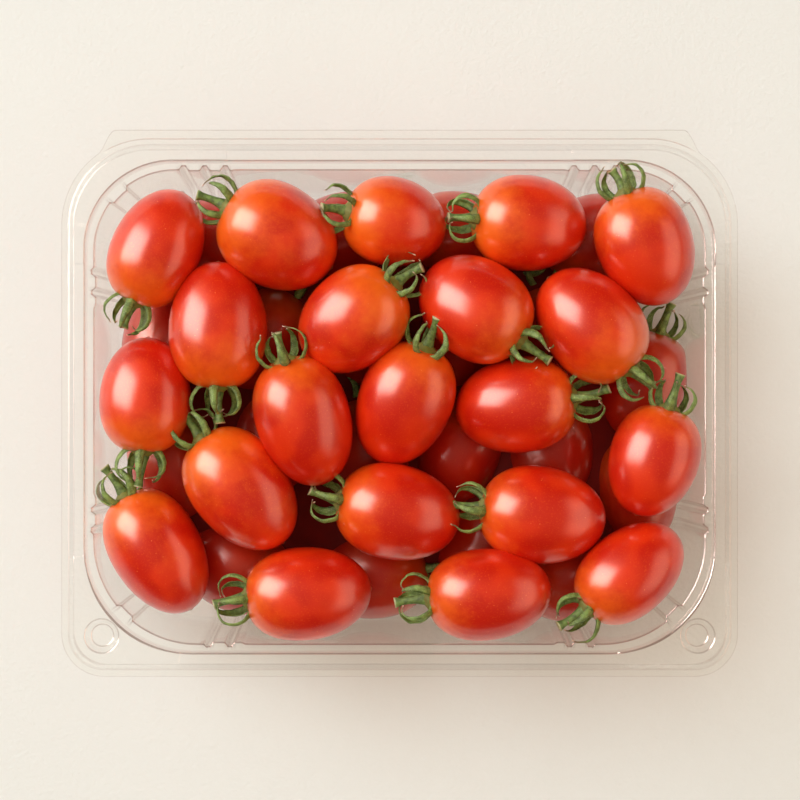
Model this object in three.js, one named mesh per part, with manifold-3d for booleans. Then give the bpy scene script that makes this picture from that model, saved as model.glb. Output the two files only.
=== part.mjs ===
// A clear punnet heaped with plum cherry tomatoes. Millimetres, +Z up.
// Origin: the middle of the footprint, on the surface that the tray stands on.
// +X runs along the long side, +Y points to the side with the hinge strip.
import * as THREE from 'three'
import Module from 'manifold-3d'
import { mergeVertices } from 'three/addons/utils/BufferGeometryUtils.js'

const wasm = await Module()
wasm.setup()

// ---- driving dimensions -------------------------------------------------

const RIM_LENGTH = 190
const RIM_DEPTH = 151.4
const STRIP_REACH = 2.2
const TRAY_HEIGHT = 45
const SHEET = 0.5
const WALL_DRAFT = THREE.MathUtils.degToRad(4)

// How far each line of the rim lies inside the outer edge, and its corner radii.
const LIP = { inset: 0, front: 12, back: 24.5 }
const STEP_FOOT = { inset: 1.9, front: 10, back: 22.6 }
const STEP_HEAD = { inset: 3.6, front: 8.4, back: 21 }
const SHELF_EDGE = { inset: 6.8, front: 30.2, back: 24.7 }
const SHELF_FOOT = { inset: 7.1, front: 29.9, back: 24.4 }
const WALL_HEAD = { inset: 9.2, front: 29, back: 22.6 }

// Levels below the raised corner pads, which are the highest part of the tray.
const PAD_RISE = 0.6
const STEP_RISE = 1.6
const SHELF_DROP = 2.4
const FLOOR_RADIUS = 5

// Relief of the wall: round flutes in pairs or threes, and a flat lug in each corner.
const FLUTE_HALF_FOOT = 1.5
const FLUTE_HALF_HEAD = 0.7
const FLUTE_OUT = 0.65
const BACK_FLUTE_OUT = 1.15
const PAD_IN = 0.5
const BACK_PAD_IN = 0.2
const FLUTE_PAD_END = 3.2
const FRONT_FLUTES = [47.8, 53.8]
const BACK_FLUTES = [49.1, 54.9, 60.8]
const SIDE_FLUTES_FRONT = [-35.6, -30]
const SIDE_FLUTES_BACK = [31.2, 36.9]
const LUG_IN = 1

// Corners in degrees from the short side. lug and pad give where each starts to rise,
// is up, starts to fall and is down; the hinge strip starts at the angle named strip.
const CORNER = {
  front: {
    round: [0, 22.5, 34, 45, 56, 67.5, 90],
    lug: [39, 40.5, 49.5, 51],
    pad: [7, 11, 79, 83],
    strip: Infinity,
  },
  back: {
    round: [0, 13, 25, 45, 57, 59.5, 68, 78, 90],
    lug: [36.5, 38.5, 51.5, 53.5],
    pad: [0, 0, 90, 90],
    strip: 59.5,
  },
}

// Round sockets in the two front corner pads.
const SOCKET_X = 83.5
const SOCKET_Y = -65.2
const SOCKET_RADIUS = 4.7
const SOCKET_FLOOR_RADIUS = 3.3
const SOCKET_DEPTH = 2.5
const SOCKET_SIDES = 12

const GAP = 0.3
const UPPER_FACETS = { sides: 10, rings: 7 }
const LOWER_FACETS = { sides: 7, rings: 5 }
const EGG = 0.08

// The fruit, as [x, y, length, width], then in degrees the heading of the stem end, how
// far it tilts up, and how far the first sepal is turned from the upper side, where the
// calyx shows. The lower ones stand on the floor of the tray, the upper ones on them.
const LOWER_FRUIT = [
  [-52, 47, 34, 26, -20, 0],
  [-17, 49, 34, 26, 10, 0],
  [18, 49.5, 33, 26, 175, 0],
  [57, 48.5, 34, 26, 200, 0],
  [-69, 18, 33, 25.5, -95, 0],
  [-40, 18.5, 34, 26, 52, 0],
  [-9, 19.5, 34, 26, 100, 0],
  [18, 20, 33, 26, 80, 0],
  [45, 18.5, 34, 26, 100, 0],
  [71.5, 5, 34, 25.5, 72, 0, 0],
  [-66.5, -18, 34, 26, 105, 0],
  [-36.5, -12, 33, 26, 75, 0],
  [-9.5, -14.5, 34, 26, 110, 0],
  [17.5, -14, 34, 26, 75, 0],
  [44.5, -15, 33, 26, 92, 0],
  [69.5, -25.5, 34, 25, 98, 0],
  [-47.5, -48.5, 34, 26, -15, 0],
  [-8, -50.5, 34, 26, 8, 0],
  [24, -44, 33, 26, 66, 0],
  [51.5, -51, 34, 26, 185, 0],
]
const UPPER_FRUIT = [
  [25.1, -54, 35.7, 26.2, 184, 3, 36],
  [-26.2, -54, 36.2, 26.6, 184, 3, 0],
  [65.5, -48, 34.6, 24.6, -142, 9, 0],
  [-69.2, -42.4, 38.3, 26.2, 120, 3, 36],
  [-0.6, -31, 36, 27.2, 168, 9, 0],
  [-44.9, -24.5, 38.6, 27.2, 128, 3, 36],
  [71.9, -16.2, 32.4, 25.4, 73, 3, 0],
  [40.5, -31.8, 36.4, 27.6, 173, 6, 0],
  [33.2, -0.5, 34.8, 27.6, 7, 10, 0],
  [-72.2, 2, 33.4, 25.6, -92, 3, 0],
  [1.2, -0.1, 37.2, 26.4, 68, 20, 36],
  [-27.1, -5, 38, 27.2, 107, 12, 0],
  [-68.9, 44, 35.2, 25.8, -114, 3, 0],
  [-51.5, 21.8, 36.6, 27.6, -90, 3, 0],
  [-13.2, 23.4, 34, 27.2, 40, 14, 36],
  [21.3, 26.9, 34.2, 28, -37, 12, 36],
  [54, 22.2, 35.8, 27.6, -48, 3, 0],
  [-1.4, 51.4, 30, 25.2, 168, 18, 36],
  [36.7, 51.2, 33.4, 27, 176, 12, 0],
  [69.7, 44.4, 34.4, 27.4, 112, 6, 0],
  [-34.5, 47.3, 35.2, 29.2, 150, 3, 36],
]
const NEIGHBOUR_GIVE = 0.93

// Calyx: five sepals that leave a small hub over the shoulder and bend back over the stalk.
const SEPALS = 5
const SEPAL_WIDTH = 3.8
const SEPAL_THICKNESS = 1.1
const SEPAL_CURL = 5
const SEPAL_BEND = THREE.MathUtils.degToRad(85)
const SEPAL_END = THREE.MathUtils.degToRad(185)
const HUB_RADIUS = 2.8
const HUB_FOOT = 0.2
const HUB_HEIGHT = 1.5
const STALK_RADIUS = 1.2
const STALK_LENGTH = 8
const CALYX_SINK = 2.5

// The hidden core: a block low down in the heap, with a knoll up into each upper fruit.
const CORE_INSET = 17
const CORE_BOTTOM = 8
const CORE_TOP = 20
const CORE_CORNER = 14
const KNOLL_RADIUS = 6
const KNOLL_SIDES = 3

// ---- derived levels and places ------------------------------------------

const HALF_LENGTH = RIM_LENGTH / 2
const FRONT_Y = -(RIM_DEPTH + STRIP_REACH) / 2
const BACK_Y = FRONT_Y + RIM_DEPTH
const STRIP_Y = BACK_Y + STRIP_REACH
const PLATEAU_Z = TRAY_HEIGHT - PAD_RISE
const LIP_Z = PLATEAU_Z - STEP_RISE
const SHELF_Z = PLATEAU_Z - SHELF_DROP
const FLOOR_Z = SHEET

function wallInset(z) {
  return WALL_HEAD.inset + (SHELF_Z - z) * Math.tan(WALL_DRAFT)
}

// ---- solids -------------------------------------------------------------

// A closed geometry as a solid: shared corners merged, collapsed triangles left out.
function solid(geometry) {
  const bare = new THREE.BufferGeometry()
  bare.setAttribute('position', geometry.attributes.position.clone())
  if (geometry.index) bare.setIndex(geometry.index.clone())
  const merged = mergeVertices(bare, 1e-3)
  const index = merged.index.array
  const kept = []
  for (let i = 0; i < index.length; i += 3) {
    const [a, b, c] = [index[i], index[i + 1], index[i + 2]]
    if (a !== b && b !== c && c !== a) kept.push(a, b, c)
  }
  const mesh = new wasm.Mesh({
    numProp: 3,
    vertProperties: new Float32Array(merged.attributes.position.array),
    triVerts: new Uint32Array(kept),
  })
  mesh.merge()
  return new wasm.Manifold(mesh)
}

function geometryOf(body) {
  const mesh = body.getMesh()
  const geometry = new THREE.BufferGeometry()
  geometry.setAttribute('position', new THREE.BufferAttribute(mesh.vertProperties, 3))
  geometry.setIndex(new THREE.BufferAttribute(mesh.triVerts, 1))
  return geometry
}

function namedMesh(name, body, material) {
  const mesh = new THREE.Mesh(geometryOf(body), material)
  mesh.name = name
  return mesh
}

// ---- tray ---------------------------------------------------------------

// One station is a place along the rim, the same on every line of the tray's profile.
// push moves the wall outwards there, raised marks a corner pad.
function fluteStations(side, flutes, out, padIn, endAt) {
  const list = []
  for (const middle of flutes) {
    list.push({ side, at: middle - FLUTE_HALF_FOOT, push: -padIn })
    list.push({ side, at: middle - FLUTE_HALF_HEAD, push: out })
    list.push({ side, at: middle + FLUTE_HALF_HEAD, push: out })
    list.push({ side, at: middle + FLUTE_HALF_FOOT, push: -padIn })
  }
  if (endAt !== undefined) list.push({ side, at: endAt, push: 0 })
  return list.sort((a, b) => a.at - b.at)
}

function mirrored(list) {
  return list.map((station) => ({ ...station, at: -station.at })).reverse()
}

function cornerStations(end, sign) {
  const { round, lug, pad, strip } = CORNER[end]
  const within = (angle, [, from, to]) => angle >= from && angle <= to
  const angles = [...new Set([...round, ...lug, ...pad])].sort((a, b) => a - b)
  return angles.map((angle) => ({
    side: 'corner',
    end,
    sign,
    angle: THREE.MathUtils.degToRad(angle),
    push: within(angle, lug) ? -LUG_IN : 0,
    raised: within(angle, pad),
    strip: angle >= strip,
  }))
}

function rimStations() {
  const frontRight = fluteStations('front', FRONT_FLUTES, FLUTE_OUT, PAD_IN,
    FRONT_FLUTES[0] - FLUTE_PAD_END)
  const backRight = fluteStations('back', BACK_FLUTES, BACK_FLUTE_OUT, BACK_PAD_IN)
  for (const station of backRight) {
    station.strip = true
    station.raised = station.at > BACK_FLUTES[0]
  }
  const sideFront = fluteStations('side', SIDE_FLUTES_FRONT, FLUTE_OUT, PAD_IN,
    SIDE_FLUTES_FRONT[1] + FLUTE_PAD_END)
  const sideBack = fluteStations('side', SIDE_FLUTES_BACK, FLUTE_OUT, PAD_IN,
    SIDE_FLUTES_BACK[0] - FLUTE_PAD_END)
  const side = [...sideFront, ...sideBack]
  return [
    ...mirrored(frontRight),
    ...frontRight,
    ...cornerStations('front', 1).reverse(),
    ...side.map((station) => ({ ...station, sign: 1 })),
    ...cornerStations('back', 1),
    ...[...backRight].reverse(),
    ...mirrored(backRight).reverse(),
    ...cornerStations('back', -1).reverse(),
    ...side.map((station) => ({ ...station, sign: -1 })).reverse(),
    ...cornerStations('front', -1),
  ]
}

// The point of a line of the profile at one station. In a corner it lies on the ray
// from the middle of the wall's corner arc, so that stations fan out over the pads.
function rimPoint(line, station, push) {
  const halfX = HALF_LENGTH - line.inset
  const frontY = FRONT_Y + line.inset
  const backY = BACK_Y - line.inset
  if (station.side === 'front') return [station.at, frontY - push]
  if (station.side === 'back') return [station.at, backY + push]
  if (station.side === 'side') return [station.sign * (halfX + push), station.at]
  const front = station.end === 'front'
  const farY = front ? -frontY : backY
  const headRadius = front ? WALL_HEAD.front : WALL_HEAD.back
  const headY = front ? -(FRONT_Y + WALL_HEAD.inset) : BACK_Y - WALL_HEAD.inset
  const from = new THREE.Vector2(HALF_LENGTH - WALL_HEAD.inset - headRadius, headY - headRadius)
  const ray = new THREE.Vector2(Math.cos(station.angle), Math.sin(station.angle))
  const radius = front ? line.front : line.back
  const toCentre = new THREE.Vector2(halfX - radius, farY - radius).sub(from)
  const along = toCentre.dot(ray)
  const reachX = (halfX - from.x) / Math.max(ray.x, 1e-9)
  const reachY = (farY - from.y) / Math.max(ray.y, 1e-9)
  let reach = along + Math.sqrt(Math.max(along ** 2 - toCentre.lengthSq() + radius ** 2, 0))
  if (from.y + reachX * ray.y <= farY - radius) reach = reachX
  if (from.x + reachY * ray.x <= halfX - radius) reach = reachY
  const hit = from.add(ray.multiplyScalar(reach + push))
  return [station.sign * hit.x, front ? -hit.y : hit.y]
}

// The profile of the upper face of the sheet, from the outer edge to the floor.
function profile() {
  const foot = wallInset(FLOOR_Z + FLOOR_RADIUS)
  const slope = FLOOR_RADIUS * Math.SQRT1_2
  const shrink = (inset) => ({
    inset,
    front: WALL_HEAD.front - inset + WALL_HEAD.inset,
    back: WALL_HEAD.back - inset + WALL_HEAD.inset,
  })
  return [
    { ...LIP, z: LIP_Z, wall: 0 },
    { ...STEP_FOOT, z: LIP_Z, wall: 0 },
    { ...STEP_HEAD, z: PLATEAU_Z, wall: 0, pad: true },
    { ...SHELF_EDGE, z: PLATEAU_Z, wall: 0, pad: true },
    { ...SHELF_FOOT, z: SHELF_Z, wall: 0 },
    { ...WALL_HEAD, z: SHELF_Z, wall: 1 },
    { ...shrink(foot), z: FLOOR_Z + FLOOR_RADIUS, wall: 1 },
    { ...shrink(foot + FLOOR_RADIUS - slope), z: FLOOR_Z + FLOOR_RADIUS - slope, wall: 0.5 },
    { ...shrink(foot + FLOOR_RADIUS), z: FLOOR_Z, wall: 0 },
  ]
}

// The same profile moved by a distance square to the sheet, down and outwards.
function offsetProfile(lines, distance) {
  const normals = []
  for (let i = 0; i + 1 < lines.length; i++) {
    const run = new THREE.Vector2(lines[i + 1].inset - lines[i].inset, lines[i + 1].z - lines[i].z)
    normals.push(new THREE.Vector2(run.y, -run.x).normalize())
  }
  return lines.map((line, i) => {
    const before = normals[Math.max(i - 1, 0)]
    const after = normals[Math.min(i, normals.length - 1)]
    const mitre = before.clone().add(after).normalize()
    mitre.multiplyScalar(distance / mitre.dot(after))
    if (i === lines.length - 1) mitre.set(0, -distance)
    return {
      ...line,
      inset: line.inset + mitre.x,
      front: line.front - mitre.x,
      back: line.back - mitre.x,
      z: line.z + mitre.y,
    }
  })
}

// The closed shell between two profiles. thicker widens it past the outer edge as well.
function shell(upper, lower, thicker = 0) {
  const stations = rimStations()
  const count = stations.length
  const positions = []
  const faces = []
  const addSkin = (lines) => {
    const start = positions.length / 3
    lines.forEach((line, row) => {
      for (const station of stations) {
        const [x, y] = rimPoint(line, station, station.push * line.wall)
        const onStrip = row === 0 && station.strip
        const z = line.z + (line.pad && station.raised ? PAD_RISE : 0)
        positions.push(x, onStrip ? STRIP_Y + thicker : y, z)
      }
    })
    positions.push(0, (FRONT_Y + BACK_Y) / 2, lines[lines.length - 1].z)
    return start
  }
  const top = addSkin(upper)
  const bottom = addSkin(lower)
  const middle = upper.length * count
  for (let j = 0; j < count; j++) {
    const k = (j + 1) % count
    for (let row = 0; row + 1 < upper.length; row++) {
      const [a, b, c, d] = [row * count + j, row * count + k, (row + 1) * count + k, (row + 1) * count + j]
      faces.push(top + a, top + b, top + c, top + a, top + c, top + d)
      faces.push(bottom + a, bottom + c, bottom + b, bottom + a, bottom + d, bottom + c)
    }
    const last = (upper.length - 1) * count
    faces.push(top + last + j, top + last + k, top + middle)
    faces.push(bottom + last + k, bottom + last + j, bottom + middle)
    faces.push(bottom + j, bottom + k, top + k, bottom + j, top + k, top + j)
  }
  const geometry = new THREE.BufferGeometry()
  geometry.setAttribute('position', new THREE.Float32BufferAttribute(positions, 3))
  geometry.setIndex(faces)
  return solid(geometry)
}

function cup(radius, floorRadius, top, floor) {
  const outline = [
    new THREE.Vector2(0, floor),
    new THREE.Vector2(floorRadius, floor),
    new THREE.Vector2(radius, top),
    new THREE.Vector2(0, top),
  ]
  const geometry = new THREE.LatheGeometry(outline, SOCKET_SIDES)
  geometry.rotateX(Math.PI / 2)
  return geometry
}

function trayBody() {
  const upper = profile()
  let tray = shell(upper, offsetProfile(upper, SHEET))
  for (const x of [-SOCKET_X, SOCKET_X]) {
    const floor = TRAY_HEIGHT - SOCKET_DEPTH
    const slope = (SOCKET_RADIUS - SOCKET_FLOOR_RADIUS) / SOCKET_DEPTH
    const skin = cup(SOCKET_RADIUS + SHEET, SOCKET_FLOOR_RADIUS + SHEET, TRAY_HEIGHT - SHEET / 2,
      floor - SHEET)
    const hollow = cup(SOCKET_RADIUS + slope, SOCKET_FLOOR_RADIUS, TRAY_HEIGHT + 1, floor)
    skin.translate(x, SOCKET_Y, 0)
    hollow.translate(x, SOCKET_Y, 0)
    tray = tray.add(solid(skin)).subtract(solid(hollow))
  }
  return tray
}

// The tray swollen by the gap on every side, for cutting the fruit clear of it.
function trayClearance() {
  const upper = offsetProfile(profile(), -GAP)
  return shell(upper, offsetProfile(profile(), SHEET + GAP), GAP)
}

// ---- fruit --------------------------------------------------------------

// Balls strung along a fruit's axis fill out its egg shape, and stand for it as it settles.
function balls(length, width) {
  const [a, b] = [length / 2, width / 2]
  const spread = a ** 2 - b ** 2
  return [-1, -0.5, 0, 0.5, 1].map((part) => {
    const at = (part * spread) / a
    return { at, radius: b * Math.sqrt(1 - at ** 2 / spread) }
  })
}

function axisOf(heading, tilt) {
  const [turn, lift] = [heading, tilt].map(THREE.MathUtils.degToRad)
  return new THREE.Vector3(
    Math.cos(turn) * Math.cos(lift), Math.sin(turn) * Math.cos(lift), Math.sin(lift))
}

function ballsAt(fruit, z) {
  const [x, y, length, width, heading, tilt] = fruit
  const axis = axisOf(heading, tilt)
  return balls(length, width).map(({ at, radius }) => ({
    centre: new THREE.Vector3(x, y, z).addScaledVector(axis, at),
    radius,
  }))
}

// The height at which a fruit comes to rest when it is let down.
function restHeight(fruit, resting) {
  let height = -Infinity
  for (const ball of ballsAt(fruit, 0)) {
    height = Math.max(height, FLOOR_Z + GAP + ball.radius - ball.centre.z)
    for (const other of resting) {
      for (const below of other.balls) {
        const reach = (ball.radius + below.radius) * other.give
        const apart = (ball.centre.x - below.centre.x) ** 2 + (ball.centre.y - below.centre.y) ** 2
        if (apart >= reach ** 2) continue
        height = Math.max(height, below.centre.z + Math.sqrt(reach ** 2 - apart) - ball.centre.z)
      }
    }
  }
  return height
}

function settled() {
  const placed = []
  const resting = []
  for (const fruit of LOWER_FRUIT) {
    const z = restHeight(fruit, [])
    placed.push({ fruit, z, facets: LOWER_FACETS })
    resting.push({ balls: ballsAt(fruit, z), give: 1 })
  }
  for (const fruit of UPPER_FRUIT) {
    const z = restHeight(fruit, resting)
    placed.push({ fruit, z, facets: UPPER_FACETS })
    resting.push({ balls: ballsAt(fruit, z), give: NEIGHBOUR_GIVE })
  }
  return placed
}

// Egg-shaped, blunt at the stem end (+Y of the lathe) and narrower at the blossom end.
// Its facets cross the true round, so that they neither shrink nor swell it.
function fruitGeometry(length, width, { sides, rings }) {
  const across = width / 2 / Math.sqrt(Math.cos(Math.PI / sides))
  const outline = []
  for (let ring = 0; ring <= rings; ring++) {
    const turn = (Math.PI * ring) / rings
    const radius = across * Math.sin(turn) * (1 - EGG * Math.cos(turn))
    const atPole = ring === 0 || ring === rings
    outline.push(new THREE.Vector2(atPole ? 0 : radius, (-length / 2) * Math.cos(turn)))
  }
  return new THREE.LatheGeometry(outline, sides)
}

// Stalk, hub and sepals as one closed body round +Y, with the shoulder at height 0.
function calyxGeometry() {
  const positions = []
  const faces = []
  const point = (radius, height, angle, aside = 0) => {
    const [cos, sin] = [Math.cos(angle), Math.sin(angle)]
    positions.push(radius * cos - aside * sin, height, radius * sin + aside * cos)
    return positions.length / 3 - 1
  }
  const ring = (radius, height) => Array.from({ length: SEPALS }, (_, k) =>
    point(radius, height, (2 * Math.PI * (k - 0.5)) / SEPALS))
  const sunk = ring(HUB_RADIUS, -CALYX_SINK)
  const low = ring(HUB_RADIUS, HUB_FOOT)
  const high = ring(STALK_RADIUS, HUB_HEIGHT)
  const end = ring(STALK_RADIUS, STALK_LENGTH)
  const under = point(0, -CALYX_SINK, 0)
  const over = point(0, STALK_LENGTH, 0)
  const band = (lower, upper, l, r) =>
    faces.push(lower[l], lower[r], upper[r], lower[l], upper[r], upper[l])
  for (let r = 0; r < SEPALS; r++) {
    const l = (r + 1) % SEPALS
    const angle = (2 * Math.PI * r) / SEPALS
    const at = (curl, turn, aside) => point(
      HUB_RADIUS + curl * Math.sin(turn), SEPAL_CURL - curl * Math.cos(turn), angle, aside)
    const bendL = at(SEPAL_CURL, SEPAL_BEND, SEPAL_WIDTH / 2)
    const bendR = at(SEPAL_CURL, SEPAL_BEND, -SEPAL_WIDTH / 2)
    const ridge = at(SEPAL_CURL - SEPAL_THICKNESS, SEPAL_BEND, 0)
    const tip = at(SEPAL_CURL, SEPAL_END, 0)
    band(sunk, low, l, r)
    band(high, end, l, r)
    faces.push(under, sunk[r], sunk[l], over, end[l], end[r])
    faces.push(low[l], low[r], bendR, low[l], bendR, bendL)
    faces.push(low[r], high[r], ridge, low[r], ridge, bendR)
    faces.push(high[l], low[l], bendL, high[l], bendL, ridge)
    faces.push(high[r], high[l], ridge)
    faces.push(bendL, bendR, tip, bendR, ridge, tip, ridge, bendL, tip)
  }
  const geometry = new THREE.BufferGeometry()
  geometry.setAttribute('position', new THREE.Float32BufferAttribute(positions, 3))
  geometry.setIndex(faces)
  return geometry
}

// The pieces of one fruit, in place: the berry, and its calyx where it shows. The stem is
// on the +Y side of each piece and the upper side of the fruit on its +X side.
function fruitPieces({ fruit, z, facets }) {
  const [x, y, length, width, heading, tilt, sepalTurn] = fruit
  const axis = axisOf(heading, tilt)
  const upper = new THREE.Vector3(0, 0, 1).addScaledVector(axis, -axis.z).normalize()
  const side = upper.clone().cross(axis)
  const place = new THREE.Matrix4().makeBasis(upper, axis, side).setPosition(x, y, z)
  const pieces = [fruitGeometry(length, width, facets)]
  if (sepalTurn !== undefined) {
    const turn = THREE.MathUtils.degToRad(sepalTurn)
    pieces.push(calyxGeometry().rotateY(turn).translate(0, length / 2, 0))
  }
  return pieces.map((piece) => solid(piece.applyMatrix4(place)))
}

function coreBlock() {
  const halfX = HALF_LENGTH - WALL_HEAD.inset - CORE_INSET - CORE_CORNER
  const frontY = FRONT_Y + WALL_HEAD.inset + CORE_INSET + CORE_CORNER
  const backY = BACK_Y - WALL_HEAD.inset - CORE_INSET - CORE_CORNER
  const quarter = Math.PI / 2
  const outline = new THREE.Shape()
  outline.absarc(halfX, frontY, CORE_CORNER, -quarter, 0)
  outline.absarc(halfX, backY, CORE_CORNER, 0, quarter)
  outline.absarc(-halfX, backY, CORE_CORNER, quarter, 2 * quarter)
  outline.absarc(-halfX, frontY, CORE_CORNER, 2 * quarter, 3 * quarter)
  const geometry = new THREE.ExtrudeGeometry(outline, {
    depth: CORE_TOP - CORE_BOTTOM,
    bevelEnabled: false,
    curveSegments: 3,
  })
  return geometry.translate(0, 0, CORE_BOTTOM)
}

// A cone from inside the block up to the middle of one upper fruit, under which it hides.
function coreKnoll({ fruit, z }) {
  const foot = (CORE_BOTTOM + CORE_TOP) / 2
  const edge = WALL_HEAD.inset + CORE_INSET + KNOLL_RADIUS
  const middleY = (FRONT_Y + BACK_Y) / 2
  const within = (at, limit) => THREE.MathUtils.clamp(at, -limit, limit)
  const footX = within(fruit[0], HALF_LENGTH - edge)
  const footY = middleY + within(fruit[1] - middleY, RIM_DEPTH / 2 - edge)
  const height = z - foot
  const outline = [
    new THREE.Vector2(0, 0),
    new THREE.Vector2(KNOLL_RADIUS, 0),
    new THREE.Vector2(0, height),
  ]
  const lean = new THREE.Matrix4().makeShear(
    0, 0, 0, 0, (fruit[0] - footX) / height, (fruit[1] - footY) / height)
  const cone = new THREE.LatheGeometry(outline, KNOLL_SIDES).rotateX(Math.PI / 2)
  return cone.applyMatrix4(lean).translate(footX, footY, foot)
}

function heapBody() {
  const fruit = settled()
  const upper = fruit.filter((each) => each.facets === UPPER_FACETS)
  const core = [coreBlock(), ...upper.map(coreKnoll)].map(solid)
  const fused = wasm.Manifold.union([...core, ...fruit.flatMap(fruitPieces)])
  const pieces = fused.subtract(trayClearance()).decompose()
  return pieces.sort((a, b) => b.volume() - a.volume())[0]
}

// ---- model --------------------------------------------------------------

const clearPlastic = new THREE.MeshStandardMaterial({
  color: 0xeeebe4,
  roughness: 0.08,
  metalness: 0,
  transparent: true,
  opacity: 0.35,
})
const ripeSkin = new THREE.MeshStandardMaterial({ color: 0xd52a10, roughness: 0.25, metalness: 0 })

const group = new THREE.Group()
group.add(namedMesh('tray', trayBody(), clearPlastic))
group.add(namedMesh('tomatoes', heapBody(), ripeSkin))

export default group
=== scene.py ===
# A clear punnet heaped with plum cherry tomatoes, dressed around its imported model.
# Sizes are millimetres until a mesh is made. +X is the long side, +Y the hinge strip's.
import math
import random

import bpy
import numpy as np
from mathutils import Matrix, Vector, noise


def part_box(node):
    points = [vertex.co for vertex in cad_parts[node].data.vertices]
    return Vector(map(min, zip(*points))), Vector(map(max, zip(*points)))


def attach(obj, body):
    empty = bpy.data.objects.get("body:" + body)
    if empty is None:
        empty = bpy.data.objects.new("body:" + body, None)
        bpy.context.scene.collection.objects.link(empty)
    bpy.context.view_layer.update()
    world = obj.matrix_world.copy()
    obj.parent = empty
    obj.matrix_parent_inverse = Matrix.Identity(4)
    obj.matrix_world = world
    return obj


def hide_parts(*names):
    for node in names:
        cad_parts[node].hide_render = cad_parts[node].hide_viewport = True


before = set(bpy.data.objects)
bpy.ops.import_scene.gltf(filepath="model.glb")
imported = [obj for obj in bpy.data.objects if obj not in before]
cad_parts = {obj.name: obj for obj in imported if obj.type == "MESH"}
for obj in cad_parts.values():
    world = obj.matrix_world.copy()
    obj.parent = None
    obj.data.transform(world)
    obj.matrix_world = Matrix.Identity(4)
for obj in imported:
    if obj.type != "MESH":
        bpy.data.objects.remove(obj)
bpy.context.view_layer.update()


# ---- the tray -----------------------------------------------------------
# One sheet of clear plastic, drawn down by vacuum over a mould: a flat lip, a step up to
# the plateau that a lid clips on, a narrow shelf, and four fluted walls down to the floor.

MM = 0.001
low, high = [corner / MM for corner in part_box("tray")]
HALF_LENGTH = (high.x - low.x) / 2
STRIP_REACH = 2.2
FRONT_Y = low.y
STRIP_Y = high.y
BACK_Y = STRIP_Y - STRIP_REACH
TRAY_HEIGHT = high.z
SHEET = 0.5
WALL_DRAFT = math.radians(4)

# Levels below the raised pads, which are the highest part of the tray.
PAD_RISE = 0.6
STEP_RISE = 1.6
SHELF_DROP = 2.4
PLATEAU_Z = TRAY_HEIGHT - PAD_RISE
LIP_Z = PLATEAU_Z - STEP_RISE
SHELF_Z = PLATEAU_Z - SHELF_DROP
FLOOR_Z = SHEET
FLOOR_RADIUS = 5

# Each line of the rim: how far it lies inside the outer edge, its corner radii, and how
# plainly its fold shows, as a painted dark line and as gloss.
LIP = {"inset": 0, "front": 12, "back": 24.5, "fold": 0}
STEP_FOOT = {"inset": 1.9, "front": 10, "back": 22.6, "fold": 0.15}
STEP_HEAD = {"inset": 3.6, "front": 8.4, "back": 21, "fold": 0.2}
SHELF_EDGE = {"inset": 6.8, "front": 30.2, "back": 24.7, "fold": 1}
SHELF_FOOT = {"inset": 7.1, "front": 29.9, "back": 24.4, "fold": 0.1}
WALL_HEAD = {"inset": 9.2, "front": 29, "back": 22.6, "fold": 0.9}

# A bend takes this much of the run on either side of its line, but never half a run.
BEND = 0.2
BEND_LIMIT = 0.45
BEND_STEPS = 4
MITRE_LIMIT = 0.5
WALL_STEPS = 5
FLOOR_STEPS = 6

# The back strip hangs on the lip by a fine crease. The first two of these lines are its hem.
CREASE_INSETS = (0, 0.05, 0.12, 0.3, 0.48)
CREASE_LOWEST = 3
CREASE_DEPTH = 0.4
HEM_LINES = 2
HEM = 0.15

# How plainly the cut edge, the crease and the turns of the wall's relief show, as a painted dark line
# and as gloss.
EDGE_FOLD = 0.35
CREASE_FOLD = 0.3
RELIEF_FOLD = 0.3
RELIEF_TURN = 0.35

# The wall's relief: round flutes in sunken pads, and a flat lug in each corner.
FLUTE_FOOT = 1.5
FLUTE_HEAD = 0.45
FRONT_FLUTES = {"at": [47.8, 53.8], "out": 0.65, "pad": 0.5, "end": 44.6}
BACK_FLUTES = {"at": [49.1, 54.9, 60.8], "out": 1.15, "pad": 0.2, "end": 47.6}
SIDE_FRONT_FLUTES = {"at": [-35.6, -30], "out": 0.65, "pad": 0.5, "end": -26.8}
SIDE_BACK_FLUTES = {"at": [31.2, 36.9], "out": 0.65, "pad": 0.5, "end": 28}
LUG_IN = 1

# Round a corner, in degrees from the short side: the lug, the raised pad, and where the
# strip begins.
CORNER_LUG = {"front": [39, 40.5, 49.5, 51], "back": [36.5, 38.5, 51.5, 53.5]}
FRONT_PAD = [8, 8.75, 81.25, 82]
STRIP_BLEND = (52, 61)
BACK_PAD_AT = 48.5
SIDE_PAD_AT = 39.1
PAD_RAMP = 0.25
STATION_STEP = 0.25
CORNER_STEP = 0.75


def smooth(low, high, at):
    share = min(max((at - low) / (high - low), 0), 1)
    return share * share * (3 - 2 * share)


def hump(edges, at):
    """1 between the two middle edges, and 0 outside the outer two."""
    return smooth(edges[0], edges[1], at) * (1 - smooth(edges[2], edges[3], at))


def flute_push(row, at):
    """How far the wall moves out at one place of a straight side."""
    first, last = min(row["at"][0], row["end"]), max(row["at"][-1], row["end"])
    pad = hump([first - FLUTE_FOOT, first, last, last + FLUTE_FOOT], at)
    push = -row["pad"] * pad
    for middle in row["at"]:
        edges = [middle - FLUTE_FOOT, middle - FLUTE_HEAD, middle + FLUTE_HEAD, middle + FLUTE_FOOT]
        push += (row["out"] + row["pad"]) * hump(edges, at)
    return push


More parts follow.
